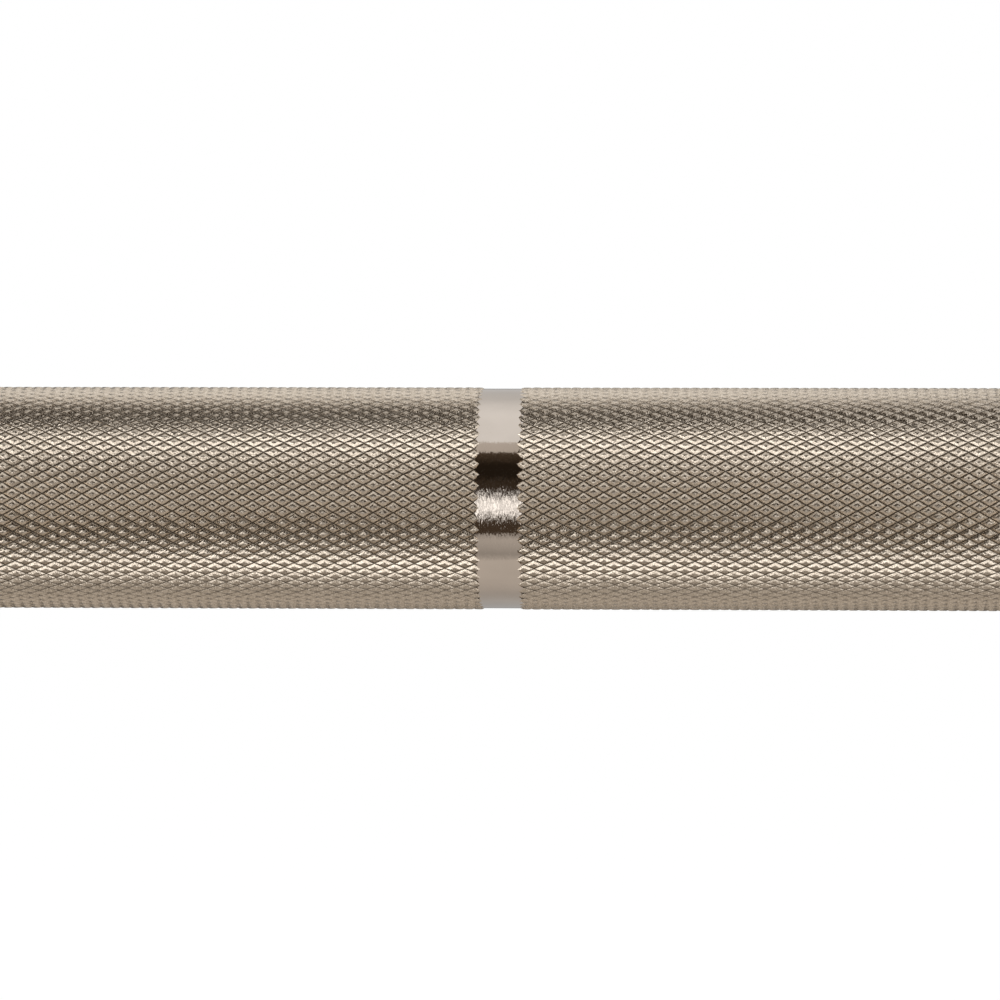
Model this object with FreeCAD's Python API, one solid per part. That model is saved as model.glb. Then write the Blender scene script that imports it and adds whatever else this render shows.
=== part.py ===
import FreeCAD
import Part

import math
import os

# Olympic barbell: a knurled steel shaft, and on each end a sleeve for weight plates that spins freely on
# two bronze bushings. Millimetres, X along the bar, Z up, origin on the bar's axis midway between the sleeves.
# Places are given for the right-hand end, along +X from the bar's middle. The left-hand end is its mirror image.

# Shaft between the stop collars
grip_span = 1310.0  # from one stop collar's inner face to the other's
shaft_diameter = 28.5  # plain bar, as the ring marks show it
knurl_rise = 0.155  # knurl crests above the plain bar
centre_knurl_length = 120.0
plain_gap = 165.0  # smooth stretch on each side of the centre knurl
knurl_to_collar = 12.0  # smooth stretch between the grip knurl and the stop collar
ring_spacing = 810.0  # between the middles of the two hand-spacing ring marks
ring_width = 5.5

# Shaft ends, inside the sleeves
shoulder_height = 1.25  # radial step down to the journal that carries the bushings
shoulder_inset = 1.0  # the shoulder stands this far beyond the dust seal
snap_groove_depth = 0.9
snap_groove_land = 3.0  # journal left beyond the snap ring's groove
shaft_nose_bevel = 1.0

# Sleeve tube
sleeve_length = 445.0
sleeve_diameter = 50.0
sleeve_nose_bevel = 2.0
bore_step = 1.0  # radial step that each bushing is pressed against

# Stop collar, shrunk onto a ground seat at the sleeve tube's mouth
collar_diameter = 73.0
collar_width = 30.0
collar_rim_round = 2.5
collar_seat_drop = 0.5  # radial, below the sleeve
collar_face_relief = 0.3  # the flat stop face starts this far outside the sleeve

# Dust seal in the sleeve's mouth
seal_ledge = 2.7  # radial step that the seal is pressed against
seal_width = 5.0
seal_inset = 0.5  # the seal's face lies this far inside the sleeve's mouth
seal_lip_height = 1.2
seal_lip_width = 0.8
seal_lip_clearance = 0.05

# Bronze bushings
bushing_length = 40.0
bushing_wall = 3.5
bushing_bevel = 0.5
running_clearance = 0.03  # radial, between journal and bushing

# Thrust washers
washer_thickness = 1.5
washer_bore_clearance = 0.15
washer_rim_clearance = 0.4
end_float = 0.1  # axial play between each bushing and its washer

# Snap ring on the shaft
snap_ring_thickness = 1.75
snap_ring_play = 0.05  # axial, in its groove
snap_ring_rim_clearance = 0.6
snap_ring_gap = 5.0

# End cap and its O-ring
cap_ledge = 3.5  # radial step that the cap sits against
cap_thickness = 6.0
cap_clearance = 0.05
cap_rim_bevel = 0.4
cap_dish_depth = 1.2
cap_dish_margin = 1.0  # flat left between the dish and the snap ring's eyelets
cap_to_shaft = 1.0
o_ring_section = 2.0

# Snap ring that holds the end cap
cap_ring_thickness = 1.5
cap_ring_groove_depth = 1.2
cap_ring_reach = 6.2  # radial, from the groove's bottom to the tips of the eyelets
cap_ring_land = 2.0  # sleeve left outside the groove
cap_ring_gap = 9.0

# Shares of a snap ring's radial reach
band_share = 0.6  # the split band
eyelet_hole_share = 0.5  # the plier hole, of its eyelet

overrun = 1.0  # how far a cutting tool passes the face it cuts

# Radii
shaft_radius = shaft_diameter / 2
crest_radius = shaft_radius + knurl_rise
journal_radius = shaft_radius - shoulder_height
snap_groove_radius = journal_radius - snap_groove_depth
bushing_bore_radius = journal_radius + running_clearance
bushing_radius = bushing_bore_radius + bushing_wall
bore_radius = bushing_radius - bore_step
seal_radius = bushing_radius + seal_ledge
cap_seat_radius = bushing_radius + cap_ledge
cap_groove_radius = cap_seat_radius + cap_ring_groove_depth
cap_eyelet_radius = cap_groove_radius - cap_ring_reach
sleeve_radius = sleeve_diameter / 2
collar_seat_radius = sleeve_radius - collar_seat_drop
collar_face_radius = sleeve_radius + collar_face_relief
collar_radius = collar_diameter / 2

# Places along the grip, from the bar's middle
centre_knurl_end_x = centre_knurl_length / 2
grip_knurl_start_x = centre_knurl_end_x + plain_gap
ring_x = ring_spacing / 2
mouth_x = grip_span / 2
grip_knurl_end_x = mouth_x - knurl_to_collar

# Places along the sleeve, from its mouth outwards
seal_x = mouth_x + seal_inset
seal_end_x = seal_x + seal_width
shoulder_x = seal_end_x + shoulder_inset
inner_bushing_x = shoulder_x + washer_thickness + end_float
inner_bushing_end_x = inner_bushing_x + bushing_length

# Places along the sleeve, from its outer end inwards
sleeve_end_x = mouth_x + sleeve_length
cap_groove_end_x = sleeve_end_x - cap_ring_land
cap_end_x = cap_groove_end_x - cap_ring_thickness
cap_x = cap_end_x - cap_thickness
shaft_end_x = cap_x - cap_to_shaft
snap_groove_end_x = shaft_end_x - snap_groove_land
snap_ring_x = snap_groove_end_x - snap_ring_thickness
snap_groove_x = snap_ring_x - snap_ring_play
outer_washer_x = snap_ring_x - washer_thickness
outer_bushing_end_x = outer_washer_x - end_float
outer_bushing_x = outer_bushing_end_x - bushing_length

ORIGIN = FreeCAD.Vector(0, 0, 0)
X_AXIS = FreeCAD.Vector(1, 0, 0)
FULL_TURN = 360


def turned(outline):
    """A solid turned about the X axis from its closed outline of (x, radius) points."""
    points = [FreeCAD.Vector(x, 0, radius) for x, radius in outline]
    face = Part.Face(Part.makePolygon(points + points[:1]))
    return face.revolve(ORIGIN, X_AXIS, FULL_TURN)


def ring(start_x, end_x, inner_radius, outer_radius):
    """A plain ring round the X axis."""
    return turned(
        [(start_x, inner_radius), (end_x, inner_radius), (end_x, outer_radius), (start_x, outer_radius)]
    )


def rounded_rims(solid, radius, rim_radius):
    """The turned solid with every circular edge of rim_radius rounded over."""
    rims = [
        edge
        for edge in solid.Edges
        if isinstance(edge.Curve, Part.Circle) and math.isclose(edge.Curve.Radius, rim_radius)
    ]
    return solid.makeFillet(radius, rims)


def rod(start_x, length, radius, y, z):
    """A round rod along X whose axis passes through (y, z)."""
    return Part.makeCylinder(radius, length, FreeCAD.Vector(start_x, y, z), X_AXIS)


def snap_ring(start_x, thickness, seat_radius, tip_radius, gap):
    """A split ring with two plier eyelets. Its band seats at seat_radius and its eyelets end at tip_radius."""
    reach = abs(tip_radius - seat_radius)
    band_radius = seat_radius + band_share * (tip_radius - seat_radius)
    inner_radius, outer_radius = sorted((seat_radius, band_radius))
    slot_height = max(seat_radius, tip_radius) + overrun
    slot_corner = FreeCAD.Vector(start_x - overrun, -gap / 2, 0)
    slot = Part.makeBox(thickness + 2 * overrun, gap, slot_height, slot_corner)
    band = ring(start_x, start_x + thickness, inner_radius, outer_radius).cut(slot)

    eyelet_radius = reach / 2
    eyelet_y = gap / 2 + eyelet_radius
    eyelet_z = math.sqrt(((seat_radius + tip_radius) / 2) ** 2 - eyelet_y**2)
    hole_radius = eyelet_hole_share * eyelet_radius
    eyelets = []
    holes = []
    for y in (-eyelet_y, eyelet_y):
        eyelets.append(rod(start_x, thickness, eyelet_radius, y, eyelet_z))
        holes.append(rod(start_x - overrun, thickness + 2 * overrun, hole_radius, y, eyelet_z))
    return band.fuse(eyelets).cut(holes).removeSplitter()


def knurl_ends(start_x, end_x):
    """The outline over one knurled stretch, with a 45 degree rise at each end."""
    return [
        (start_x, shaft_radius),
        (start_x + knurl_rise, crest_radius),
        (end_x - knurl_rise, crest_radius),
        (end_x, shaft_radius),
    ]


def make_shaft():
    right_half = [
        *knurl_ends(-centre_knurl_end_x, centre_knurl_end_x)[2:],
        *knurl_ends(grip_knurl_start_x, ring_x - ring_width / 2),
        *knurl_ends(ring_x + ring_width / 2, grip_knurl_end_x),
        (shoulder_x, shaft_radius),
        (shoulder_x, journal_radius),
        (snap_groove_x, journal_radius),
        (snap_groove_x, snap_groove_radius),
        (snap_groove_end_x, snap_groove_radius),
        (snap_groove_end_x, journal_radius),
        (shaft_end_x - shaft_nose_bevel, journal_radius),
        (shaft_end_x, journal_radius - shaft_nose_bevel),
        (shaft_end_x, 0),
    ]
    left_half = [(-x, radius) for x, radius in reversed(right_half)]
    return turned(left_half + right_half)


def make_sleeve_tube():
    outside = [
        (mouth_x, collar_seat_radius),
        (mouth_x + collar_width, collar_seat_radius),
        (mouth_x + collar_width, sleeve_radius),
        (sleeve_end_x - sleeve_nose_bevel, sleeve_radius),
        (sleeve_end_x, sleeve_radius - sleeve_nose_bevel),
    ]
    inside = [
        (sleeve_end_x, cap_seat_radius),
        (cap_groove_end_x, cap_seat_radius),
        (cap_groove_end_x, cap_groove_radius),
        (cap_end_x, cap_groove_radius),
        (cap_end_x, cap_seat_radius),
        (cap_x, cap_seat_radius),
        (cap_x, bushing_radius),
        (outer_bushing_x, bushing_radius),
        (outer_bushing_x, bore_radius),
        (inner_bushing_end_x, bore_radius),
        (inner_bushing_end_x, bushing_radius),
        (seal_end_x, bushing_radius),
        (seal_end_x, seal_radius),
        (mouth_x, seal_radius),
    ]
    return turned(outside + inside)


def make_stop_collar():
    face_x = mouth_x + collar_width
    bore_bevel = collar_face_radius - collar_seat_radius
    collar = turned(
        [
            (mouth_x, collar_seat_radius),
            (face_x - bore_bevel, collar_seat_radius),
            (face_x, collar_face_radius),
            (face_x, collar_radius),
            (mouth_x, collar_radius),
        ]
    )
    return rounded_rims(collar, collar_rim_round, collar_radius)


def make_dust_seal():
    lip_radius = shaft_radius + seal_lip_clearance
    heel_radius = lip_radius + seal_lip_height
    lip_x = (seal_x + seal_end_x) / 2
    return turned(
        [
            (seal_x, seal_radius),
            (seal_x, heel_radius),
            (lip_x - seal_lip_width / 2, lip_radius),
            (lip_x + seal_lip_width / 2, lip_radius),
            (seal_end_x, heel_radius),
            (seal_end_x, seal_radius),
        ]
    )


def make_bushing(start_x):
    end_x = start_x + bushing_length
    return turned(
        [
            (start_x, bushing_bore_radius + bushing_bevel),
            (start_x, bushing_radius - bushing_bevel),
            (start_x + bushing_bevel, bushing_radius),
            (end_x - bushing_bevel, bushing_radius),
            (end_x, bushing_radius - bushing_bevel),
            (end_x, bushing_bore_radius + bushing_bevel),
            (end_x - bushing_bevel, bushing_bore_radius),
            (start_x + bushing_bevel, bushing_bore_radius),
        ]
    )


def make_thrust_washer(start_x):
    return ring(
        start_x,
        start_x + washer_thickness,
        journal_radius + washer_bore_clearance,
        bushing_radius - washer_rim_clearance,
    )


def make_shaft_snap_ring():
    tip_radius = bushing_radius - snap_ring_rim_clearance
    return snap_ring(snap_ring_x, snap_ring_thickness, snap_groove_radius, tip_radius, snap_ring_gap)


def make_end_cap():
    rim_radius = cap_seat_radius - cap_clearance
    groove_radius = cap_seat_radius - o_ring_section
    groove_x = (cap_x + cap_end_x - o_ring_section) / 2
    dish_radius = cap_eyelet_radius - cap_dish_margin
    return turned(
        [
            (cap_x, 0),
            (cap_x, rim_radius - cap_rim_bevel),
            (cap_x + cap_rim_bevel, rim_radius),
            (groove_x, rim_radius),
            (groove_x, groove_radius),
            (groove_x + o_ring_section, groove_radius),
            (groove_x + o_ring_section, rim_radius),
            (cap_end_x - cap_rim_bevel, rim_radius),
            (cap_end_x, rim_radius - cap_rim_bevel),
            (cap_end_x, dish_radius),
            (cap_end_x - cap_dish_depth, dish_radius - cap_dish_depth),
            (cap_end_x - cap_dish_depth, 0),
        ]
    )


def make_end_cap_o_ring():
    middle = FreeCAD.Vector((cap_x + cap_end_x) / 2, 0, 0)
    section_radius = o_ring_section / 2
    return Part.makeTorus(cap_seat_radius - section_radius, section_radius, middle, X_AXIS)


def make_end_cap_snap_ring():
    return snap_ring(cap_end_x, cap_ring_thickness, cap_groove_radius, cap_eyelet_radius, cap_ring_gap)


def end_pieces():
    """The pieces of the right-hand end, by name."""
    return {
        "sleeve_tube": make_sleeve_tube(),
        "stop_collar": make_stop_collar(),
        "dust_seal": make_dust_seal(),
        "inner_thrust_washer": make_thrust_washer(shoulder_x),
        "inner_bushing": make_bushing(inner_bushing_x),
        "outer_bushing": make_bushing(outer_bushing_x),
        "outer_thrust_washer": make_thrust_washer(outer_washer_x),
        "shaft_snap_ring": make_shaft_snap_ring(),
        "end_cap": make_end_cap(),
        "end_cap_o_ring": make_end_cap_o_ring(),
        "end_cap_snap_ring": make_end_cap_snap_ring(),
    }


def main():
    os.makedirs("parts", exist_ok=True)
    make_shaft().exportStep("parts/shaft.step")
    for name, piece in end_pieces().items():
        piece.exportStep(f"parts/right_{name}.step")
        piece.mirror(ORIGIN, X_AXIS).exportStep(f"parts/left_{name}.step")


main()
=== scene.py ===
# %% [markdown]
# # An olympic barbell, diamond by diamond
#
# A barbell is a bench job of turned parts: one long steel shaft, and on each end a sleeve that
# spins on two bronze bushings. The frame holds every part at its real size, in metres, with X
# along the bar. What shows gets a finer mesh and a real finish here, and the shaft gets its
# diamond knurl.
#
# The frame comes first, because each piece is placed by what it measures.

# %% The frame
import math
import random

import bmesh
import bpy
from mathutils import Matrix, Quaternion, Vector


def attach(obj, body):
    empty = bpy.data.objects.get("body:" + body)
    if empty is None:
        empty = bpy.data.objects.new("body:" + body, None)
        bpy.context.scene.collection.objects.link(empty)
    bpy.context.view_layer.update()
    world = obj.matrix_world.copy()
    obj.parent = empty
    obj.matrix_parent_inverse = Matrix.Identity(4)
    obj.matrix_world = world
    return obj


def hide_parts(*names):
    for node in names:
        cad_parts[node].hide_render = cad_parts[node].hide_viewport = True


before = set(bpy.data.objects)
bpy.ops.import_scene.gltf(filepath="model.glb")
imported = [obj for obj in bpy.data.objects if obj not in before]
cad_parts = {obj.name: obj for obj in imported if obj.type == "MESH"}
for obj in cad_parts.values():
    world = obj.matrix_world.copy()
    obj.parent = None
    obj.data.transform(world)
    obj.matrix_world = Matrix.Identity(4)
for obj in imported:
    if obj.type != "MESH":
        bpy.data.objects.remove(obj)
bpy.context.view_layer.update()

MM = 0.001
SIDES = {"left": -1, "right": 1}

# %% [markdown]
# ## Reading sizes off the frame
#
# Every part but the split rings is round about the bar's axis, so three numbers place it: its two
# ends along the bar and its outer radius. They could be typed in again, but then a changed model
# would no longer fit. So they are read from the right-hand parts, and the left-hand end is made
# as the mirror image.


# %% Ends and radii of the turned parts
def measure(node):
    """A node's two ends along the bar, low then high, and its largest radius about the axis."""
    points = [vertex.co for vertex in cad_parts[node].data.vertices]
    places = [point.x for point in points]
    return min(places), max(places), max(math.hypot(point.y, point.z) for point in points)


mouth_x, sleeve_end_x, sleeve_radius = measure("right_sleeve_tube")
_, stop_face_x, collar_radius = measure("right_stop_collar")
seal_x, seal_end_x, seal_radius = measure("right_dust_seal")
inner_washer_x, _, _ = measure("right_inner_thrust_washer")
_, inner_bushing_end_x, bushing_radius = measure("right_inner_bushing")
outer_bushing_x, _, _ = measure("right_outer_bushing")
snap_ring_x, snap_ring_end_x, _ = measure("right_shaft_snap_ring")
cap_x, cap_end_x, cap_radius = measure("right_end_cap")
_, cap_ring_end_x, cap_groove_radius = measure("right_end_cap_snap_ring")
_, shaft_end_x, crest_radius = measure("shaft")
print(f"Sleeve {sleeve_end_x - mouth_x:.4f} long, crests at radius {crest_radius:.6f}")

# %% [markdown]
# ## Node helpers
#
# Finishes and the knurl are both node trees. Building them by hand takes three lines a node, so
# one helper adds a node and wires it: a value that is a socket is linked, and any other value is
# typed into the input. Most often only one output of the new node is wanted, and a second helper
# gives back just that.


# %% Adding and wiring a node
def add_node(tree, kind, inputs, **settings):
    """Add a node to the tree, with sockets linked to its inputs and other values typed in."""
    node = tree.nodes.new(kind)
    for name, value in settings.items():
        setattr(node, name, value)
    for key, value in inputs.items():
        if isinstance(value, bpy.types.NodeSocket):
            tree.links.new(value, node.inputs[key])
        else:
            node.inputs[key].default_value = value
    return node


def output(tree, kind, inputs, socket=0, **settings):
    """Add a node and give back one output: its first, or the one of that name."""
    return add_node(tree, kind, inputs, **settings).outputs[socket]


def maths(tree, operation, *values):
    """The output of a Math node on the given values or sockets."""
    return output(tree, "ShaderNodeMath", dict(enumerate(values)), operation=operation)


def vector(tree, x, y, z):
    """The output of a Combine XYZ node."""
    return output(tree, "ShaderNodeCombineXYZ", {"X": x, "Y": y, "Z": z})


print("Node helpers: add_node, output, maths, vector")

# %% [markdown]
# ## Finishes
#
# Metal has almost no colour variation. What makes it look real is how its gloss and its relief
# change from place to place: turning lines, rolled grain, scuffs, grease. Painted textures would
# show those only from one side, so each finish is worked out from noise on the object's own
# coordinates, stretched along the way the tool or the hand moved.
#
# A few small helpers do all of it: grain makes the noise, spread turns it into a range of values,
# tint into a range of colours, and relief into bumps of a real depth.

# %% Grain, spread, tint and relief
NOISE_LOW, NOISE_MIDDLE, NOISE_HIGH = 0.3, 0.5, 0.7  # where nearly all of a noise's values lie


def new_finish(name, metallic):
    """A new material, its node tree and its shader."""
    material = bpy.data.materials.new(name)
    material.use_nodes = True
    shader = material.node_tree.nodes["Principled BSDF"]
    shader.inputs["Metallic"].default_value = metallic
    return material, material.node_tree, shader


def object_place(tree):
    """The place on the surface, in the object's own coordinates."""
    return output(tree, "ShaderNodeTexCoord", {}, "Object")


def even(length):
    """A size for grain whose lumps are equally long every way."""
    return length, length, length


def grain(tree, size, detail=3.0, seed=0.0):
    """Noise on object coordinates whose lumps are about size = (x, y, z) metres large."""
    scale = [1 / length for length in size]
    stretched = output(tree, "ShaderNodeMapping", {"Vector": object_place(tree), "Scale": scale})
    inputs = {"Vector": stretched, "W": seed, "Scale": 1.0, "Detail": detail}
    return output(tree, "ShaderNodeTexNoise", inputs, "Fac", noise_dimensions="4D")


def spread(tree, value, low, high, start=NOISE_LOW, stop=NOISE_HIGH):
    """The value carried from start..stop to low..high, and held there."""
    limits = {"From Min": start, "From Max": stop, "To Min": low, "To Max": high}
    return output(tree, "ShaderNodeMapRange", {"Value": value, **limits})


def between(tree, share, low, high):
    """A value between low and high, by share."""
    return spread(tree, share, low, high, start=0.0, stop=1.0)


def tint(tree, share, first, second):
    """A colour between first and second, by share."""
    mix = add_node(tree, "ShaderNodeMix", {}, data_type="RGBA")
    wiring = {"Factor_Float": share, "A_Color": first, "B_Color": second}
    for socket in mix.inputs:
        value = wiring.get(socket.identifier)
        if isinstance(value, bpy.types.NodeSocket):
            tree.links.new(value, socket)
        elif value is not None:
            socket.default_value = value
    return next(socket for socket in mix.outputs if socket.identifier == "Result_Color")


def relief(tree, height, depth, under=None):
    """A bumped normal, where height 0..1 rises by depth metres, over another one if given."""
    inputs = {"Height": height, "Distance": depth}
    if under is not None:
        inputs["Normal"] = under
    return output(tree, "ShaderNodeBump", inputs)


def wire(tree, shader, **sockets):
    """Link sockets to the shader's inputs, where an underscore stands for a space."""
    for name, socket in sockets.items():
        tree.links.new(socket, shader.inputs[name.replace("_", " ")])


print("Finish helpers: grain, spread, between, tint, relief, wire")

# %% [markdown]
# The shaft is bright nickel-toned steel, a little warm. Its knurl was rolled in under great
# pressure, so the flanks carry fine marks. The grooves and the pits in the tops are painted
# near-black, partly as the dirt they hold and partly as painted shade in those hollows. Where it
# lies comes from an attribute that the knurl itself stores, so it fills the real hollows and not
# those a texture guesses.
#
# The ring marks and the plain stretches were turned and polished on a lathe. Their lines run
# round the bar, so that noise is short along the bar and long round it. They stand out on the
# bar's sides, and are rubbed fainter above and below.

# %% Shaft steel
# The knurl's dark mask is partly the dirt that grooves and pits hold, and partly painted shade in
# those hollows
DIRT_AND_SHADE_ATTRIBUTE = "knurl_dirt_and_shade"
STEEL_BRIGHT = (0.87, 0.765, 0.645, 1.0)
STEEL_DULL = (0.51, 0.435, 0.345, 1.0)
# Near-black for the grooves and pits: partly dirt, partly painted shade
DIRT_AND_SHADE = (0.03, 0.02, 0.011, 1.0)
DIRT_ROUGHNESS = 0.45
TURNED_BRIGHT = (0.73, 0.65, 0.578, 1.0)
TURNED_DULL = (0.67, 0.595, 0.525, 1.0)
WHOLE_HEIGHT = 2.5 * MM  # up to here above or below the axis, the turning lines are whole
RUBBED_HEIGHT = 5 * MM  # and from here on they are rubbed
RUBBED_SHARE = 0.3  # down to this share of their depth


def knurled_steel():
    material, tree, shader = new_finish("knurled_steel", metallic=1.0)
    rolled = grain(tree, even(0.22 * MM))
    cloud = grain(tree, even(9 * MM), seed=2.0)
    # The stored mask darkens grooves and pits: partly dirt, partly painted shade in the hollows
    dirt_and_shade = output(tree, "ShaderNodeAttribute", {}, "Fac", attribute_name=DIRT_AND_SHADE_ATTRIBUTE)
    steel = tint(tree, spread(tree, rolled, 0.0, 1.0), STEEL_DULL, STEEL_BRIGHT)
    gloss = maths(tree, "ADD", spread(tree, rolled, 0.12, 0.22), spread(tree, cloud, -0.03, 0.03))
    wire(
        tree,
        shader,
        Base_Color=tint(tree, dirt_and_shade, steel, DIRT_AND_SHADE),
        Roughness=maths(tree, "ADD", gloss, between(tree, dirt_and_shade, 0.0, DIRT_ROUGHNESS)),
        Normal=relief(tree, rolled, depth=0.06 * MM),
    )
    return material


def turned_steel():
    material, tree, shader = new_finish("turned_steel", metallic=1.0)
    lines = grain(tree, (0.2 * MM, 0.85 * MM, 0.85 * MM), detail=2.0)
    cloud = grain(tree, (6 * MM, 4 * MM, 4 * MM), seed=1.0)
    height = output(tree, "ShaderNodeSeparateXYZ", {0: object_place(tree)}, "Z")
    off_axis = maths(tree, "ABSOLUTE", height)
    kept = spread(tree, off_axis, 1.0, RUBBED_SHARE, start=WHOLE_HEIGHT, stop=RUBBED_HEIGHT)
    marks = maths(tree, "MULTIPLY", maths(tree, "SUBTRACT", lines, NOISE_MIDDLE), kept)
    wire(
        tree,
        shader,
        Base_Color=tint(tree, spread(tree, cloud, 0.0, 1.0), TURNED_DULL, TURNED_BRIGHT),
        Roughness=spread(tree, lines, 0.05, 0.11),
        Normal=relief(tree, marks, depth=0.064 * MM),
    )
    return material


knurl_finish = knurled_steel()
shaft_finish = turned_steel()
print("Made", knurl_finish.name, "and", shaft_finish.name)

# %% [markdown]
# Sleeves and collars are hard-chromed over fine turning lines. Plates slide along the sleeves, so
# long faint scuffs run with the bar. The end caps are faced aluminium, whose tool marks are
# circles about the axis, so their noise is read along the radius alone.

# %% Sleeve chrome and cap aluminium
CHROME_BRIGHT = (0.70, 0.69, 0.68, 1.0)
CHROME_WORN = (0.56, 0.55, 0.54, 1.0)
SCUFFS_START, SCUFFS_FULL = 0.52, 0.74  # noise values where wear sets in and is complete
SCUFF_ROUGHNESS = 0.16
ALUMINIUM_BRIGHT = (0.78, 0.78, 0.79, 1.0)
ALUMINIUM_DULL = (0.66, 0.66, 0.67, 1.0)
TOOL_MARK = 0.3 * MM


def sleeve_chrome():
    material, tree, shader = new_finish("sleeve_chrome", metallic=1.0)
    lines = grain(tree, (0.35 * MM, 14 * MM, 14 * MM), detail=2.0)
    scuffs = grain(tree, (60 * MM, 0.9 * MM, 0.9 * MM), detail=4.0, seed=3.0)
    worn = spread(tree, scuffs, 0.0, 1.0, start=SCUFFS_START, stop=SCUFFS_FULL)
    gloss = spread(tree, lines, 0.10, 0.17)
    wire(
        tree,
        shader,
        Base_Color=tint(tree, worn, CHROME_BRIGHT, CHROME_WORN),
        Roughness=maths(tree, "ADD", gloss, between(tree, worn, 0.0, SCUFF_ROUGHNESS)),
        Normal=relief(tree, lines, 0.008 * MM, under=relief(tree, scuffs, 0.006 * MM)),
    )
    return material


def cap_aluminium():
    material, tree, shader = new_finish("cap_aluminium", metallic=1.0)
    on_the_face = {0: object_place(tree), 1: (0.0, 1.0, 1.0)}
    across = output(tree, "ShaderNodeVectorMath", on_the_face, operation="MULTIPLY")
    radius = output(tree, "ShaderNodeVectorMath", {0: across}, "Value", operation="LENGTH")
    circles = {"W": radius, "Scale": 1 / TOOL_MARK, "Detail": 2.0}
    lines = output(tree, "ShaderNodeTexNoise", circles, "Fac", noise_dimensions="1D")
    cloud = grain(tree, even(5 * MM), seed=4.0)
    wire(
        tree,
        shader,
        Base_Color=tint(tree, spread(tree, cloud, 0.0, 1.0), ALUMINIUM_DULL, ALUMINIUM_BRIGHT),
        Roughness=spread(tree, lines, 0.20, 0.34),
        Normal=relief(tree, lines, depth=0.01 * MM),
    )
    return material


chrome_finish = sleeve_chrome()
cap_finish = cap_aluminium()
print("Made", chrome_finish.name, "and", cap_finish.name)

# %% [markdown]
# Four finishes are left for what lies inside: oiled bronze, ground washer steel, blackened spring
# steel and rubber. One recipe serves them all, with the colours, the gloss, the lie of the grain
# and its depth as inputs, because they differ in nothing else.


# %% Bronze, washer steel, spring steel and rubber
def grained_finish(name, metallic, dark, light, gloss, size, depth):
    material, tree, shader = new_finish(name, metallic)
    marks = grain(tree, size)
    cloud = grain(tree, even(4 * MM), seed=5.0)
    wire(
        tree,
        shader,
        Base_Color=tint(tree, spread(tree, cloud, 0.0, 1.0), dark, light),
        Roughness=spread(tree, marks, *gloss),
        Normal=relief(tree, marks, depth),
    )
    return material


bronze_finish = grained_finish(
    "bushing_bronze",
    metallic=1.0,
    dark=(0.42, 0.26, 0.11, 1.0),
    light=(0.62, 0.41, 0.19, 1.0),
    gloss=(0.25, 0.42),
    size=(0.25 * MM, 6 * MM, 6 * MM),
    depth=0.01 * MM,
)
washer_finish = grained_finish(
    "washer_steel",
    metallic=1.0,
    dark=(0.50, 0.49, 0.47, 1.0),
    light=(0.62, 0.61, 0.59, 1.0),
    gloss=(0.22, 0.36),
    size=(4 * MM, 4 * MM, 0.25 * MM),
    depth=0.006 * MM,
)
spring_finish = grained_finish(
    "spring_steel",
    metallic=0.7,
    dark=(0.035, 0.034, 0.036, 1.0),
    light=(0.085, 0.083, 0.086, 1.0),
    gloss=(0.30, 0.48),
    size=even(0.3 * MM),
    depth=0.008 * MM,
)
rubber_finish = grained_finish(
    "seal_rubber",
    metallic=0.0,
    dark=(0.016, 0.016, 0.017, 1.0),
    light=(0.035, 0.034, 0.033, 1.0),
    gloss=(0.55, 0.80),
    size=even(0.2 * MM),
    depth=0.02 * MM,
)
print("Made", bronze_finish.name, washer_finish.name, spring_finish.name, rubber_finish.name)

# %% [markdown]
# ## The knurl's rule
#
# A knurl is rolled by two wheels whose teeth lean opposite ways, so it is two sets of helical
# grooves that cut the surface into diamonds. On this bar each set has sixty-three starts, which
# makes sixty-three diamonds round the bar, and the grooves lean some thirty degrees from the
# axis, which makes a diamond nearly twice as long as wide. The two wheels never lean quite alike,
# so the rows of diamonds wind slowly round the bar.
#
# A bump texture would fake it from afar, but the diamonds show against the sky at the bar's edge
# and are the first thing a hand meets, so they are real geometry: one small hill, repeated over
# forty thousand times. Its flanks are round, steep at the groove and gentler towards the top, and
# the top sits a little to one side, as the wheels pushed the steel ahead of them. The grooves are
# so steep that their walls mirror each other.

# %% Sizes of one diamond
STARTS = 63
# How dark the groove's bottom is painted: partly dirt, partly painted shade in the groove
GROOVE_DIRT_AND_SHADE = 1.0
# From the groove inwards: share of the size, share of the depth, drift round the bar as a share
# of the half width, and how dark the steel is painted there, as dirt and painted shade
DIAMOND_LEVELS = (
    (0.81, 0.31, 0.0, 0.0),
    (0.52, 0.742, 0.0, 0.0),
    (0.32, 0.965, -0.02, 0.1),
    (0.14, 1.0, -0.10, 0.35),
)
helix_angle = math.radians(29.3)
row_winding = -0.40  # radians for each metre along the bar
knurl_depth = 0.318 * MM
crest_rise = 0.155 * MM  # of the crests above the plain steel
half_width = math.pi * crest_radius / STARTS
half_length = half_width / math.tan(helix_angle)
root_radius = crest_radius - knurl_depth
plain_radius = crest_radius - crest_rise
print(f"One diamond is {2 * half_length:.5f} by {2 * half_width:.5f} m, {knurl_depth:.6f} m deep")

# %% [markdown]
# The bands lie where lifters expect them: one at the middle for the back of the shoulders, and a
# long one under each hand, broken by a smooth ring mark that shows where to grip. A band runs
# from its ring in whole columns, half a diamond apart, until it is as long as it should be. The
# wheels' edges cut the first and the last column short, so their tips are blunt, though only
# just in the bands beyond the rings. A long band is made in pieces, so that no mesh grows too
# heavy to edit.

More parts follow.
